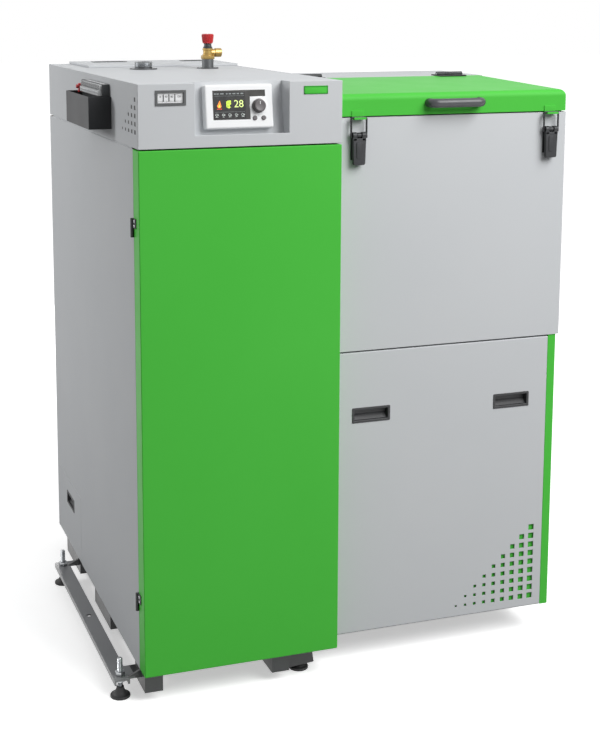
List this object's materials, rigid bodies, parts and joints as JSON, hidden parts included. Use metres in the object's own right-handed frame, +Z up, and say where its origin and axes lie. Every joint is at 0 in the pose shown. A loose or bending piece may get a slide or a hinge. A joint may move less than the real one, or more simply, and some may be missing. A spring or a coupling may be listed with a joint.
{
  "type": "coal boiler",
  "caption": "Floor-standing coal boiler: tall casing with a hinged front door, a controller in its hood, and a side fuel hopper with a latched lid over a screw feeder.",
  "frame": {"origin": "on the floor under the middle of the whole object's box", "axes": "+X to the viewer's right towards the hopper, +Y to the back, +Z up"},
  "size_m": [1.065, 1.0314, 1.407],
  "materials": {
    "green_paint": "satin powder coat",
    "light_grey_paint": "satin powder coat",
    "dark_grey_paint": "matt powder coat",
    "black_paint": "matt paint",
    "steel": "bare or zinc plated steel",
    "vessel_steel": "heat-proof paint",
    "iron": "raw casting",
    "mineral_wool": "mineral wool",
    "black_plastic": "moulded",
    "grey_plastic": "moulded",
    "white_plastic": "moulded",
    "display": "dark glossy window",
    "brass": "machined",
    "red_plastic": "moulded",
    "rubber": "foam rubber"
  },
  "bodies": {
    "boiler": {"hopper_side_panel": "green_paint", "left_side_panel": "light_grey_paint", "right_side_panel": "light_grey_paint", "rear_panel": "light_grey_paint", "front_frame": "light_grey_paint", "hood_shell": "light_grey_paint", "hood_fascia": "light_grey_paint", "hopper_casing": "light_grey_paint", "hopper_cabinet": "light_grey_paint", "cable_tray": "dark_grey_paint", "gear_motor": "dark_grey_paint", "base_frame": "black_paint", "fixed_hinge_leaves": "black_paint", "latch_bases": "black_paint", "flue_spigot": "black_paint", "fan_blower": "black_paint", "levelling_feet": "steel", "hinge_pins": "steel", "turbulators": "steel", "hopper_bin": "steel", "feeder_tube": "steel", "water_stubs": "steel", "ash_drawer": "steel", "inner_door_fittings": "steel", "water_vessel": "vessel_steel", "cleaning_door": "vessel_steel", "fire_door": "vessel_steel", "ash_door": "vessel_steel", "exchanger_hatch": "vessel_steel", "retort_burner": "iron", "flame_deflector": "iron", "insulation_jacket": "mineral_wool", "thermometer": "black_plastic", "terminal_block": "black_plastic", "controller_bezel": "white_plastic", "controller_display": "display", "safety_valve_body": "brass"},
    "door": {"front_door": "green_paint", "door_hinge_leaves": "black_paint"},
    "lid": {"lid_shell": "green_paint", "lid_seal": "rubber", "lid_handle": "grey_plastic", "lid_hinge_leaves": "black_paint", "latch_keepers": "green_paint"},
    "left_lever": {"lever_left": "black_paint"},
    "right_lever": {"lever_right": "black_paint"},
    "left_bail": {"bail_left": "steel"},
    "right_bail": {"bail_right": "steel"},
    "knob": {"encoder_knob": "grey_plastic"},
    "left_button": {"button_left": "grey_plastic"},
    "right_button": {"button_right": "grey_plastic"},
    "valve_cap": {"safety_valve_cap": "red_plastic"},
    "top_cover": {"cleaning_cover": "light_grey_paint", "cover_grips": "black_plastic"},
    "service_panel": {"access_panel": "light_grey_paint", "panel_pulls": "black_plastic"},
    "side_cover": {"side_service_cover": "light_grey_paint", "side_cover_pull": "black_plastic"},
    "auger": {"feed_auger": "steel"},
    "fan": {"fan_impeller": "steel"}
  },
  "joints": [
    {"name": "front_door_hinge", "type": "hinge", "parent": "boiler", "child": "door", "pos_m": [-0.475, -0.46825, 0.065], "axis": [0, 0, -1], "range_deg": [0, 95]},
    {"name": "lid_hinge", "type": "hinge", "parent": "boiler", "child": "lid", "pos_m": [0.2505, -0.06375, 1.3073], "axis": [-1, 0, 0], "range_deg": [0, 95]},
    {"name": "left_latch", "type": "hinge", "parent": "boiler", "child": "left_lever", "pos_m": [0.0225, -0.47625, 1.203], "axis": [-1, 0, 0], "range_deg": [0, 140]},
    {"name": "left_bail_pivot", "type": "hinge", "parent": "left_lever", "child": "left_bail", "pos_m": [0.0225, -0.47625, 1.197], "axis": [-1, 0, 0], "range_deg": [-140, 0]},
    {"name": "right_latch", "type": "hinge", "parent": "boiler", "child": "right_lever", "pos_m": [0.4885, -0.47625, 1.203], "axis": [-1, 0, 0], "range_deg": [0, 140]},
    {"name": "right_bail_pivot", "type": "hinge", "parent": "right_lever", "child": "right_bail", "pos_m": [0.4885, -0.47625, 1.197], "axis": [-1, 0, 0], "range_deg": [-140, 0]},
    {"name": "knob_turn", "type": "hinge", "parent": "boiler", "child": "knob", "pos_m": [-0.2092, -0.49178, 1.27268], "axis": [0, -0.9896, 0.1439], "continuous": true},
    {"name": "left_button_press", "type": "slide", "parent": "boiler", "child": "left_button", "axis": [0, 0.9896, -0.1439], "range_m": [0, 0.0012], "stiffness_N_per_m": 400},
    {"name": "right_button_press", "type": "slide", "parent": "boiler", "child": "right_button", "axis": [0, 0.9896, -0.1439], "range_m": [0, 0.0012], "stiffness_N_per_m": 400},
    {"name": "valve_cap_turn", "type": "hinge", "parent": "boiler", "child": "valve_cap", "pos_m": [-0.1495, 0.06575, 1.384], "axis": [0, 0, 1], "range_deg": [0, 90]},
    {"name": "top_cover_lift", "type": "slide", "parent": "boiler", "child": "top_cover", "axis": [0, 0, 1], "range_m": [0, 0.2]},
    {"name": "service_panel_pull", "type": "slide", "parent": "boiler", "child": "service_panel", "axis": [0, -1, 0], "range_m": [0, 0.25]},
    {"name": "side_cover_pull_off", "type": "slide", "parent": "boiler", "child": "side_cover", "axis": [-1, 0, 0], "range_m": [0, 0.026]},
    {"name": "auger_turn", "type": "hinge", "parent": "boiler", "child": "auger", "pos_m": [0.4145, -0.16425, 0.3], "axis": [1, 0, 0], "continuous": true},
    {"name": "fan_turn", "type": "hinge", "parent": "boiler", "child": "fan", "pos_m": [-0.0015, -0.32425, 0.33], "axis": [1, 0, 0], "continuous": true}
  ],
  "couplings": [
    {"joint": "left_bail_pivot", "follows": "left_latch", "ratio": -1},
    {"joint": "right_bail_pivot", "follows": "right_latch", "ratio": -1}
  ]
}
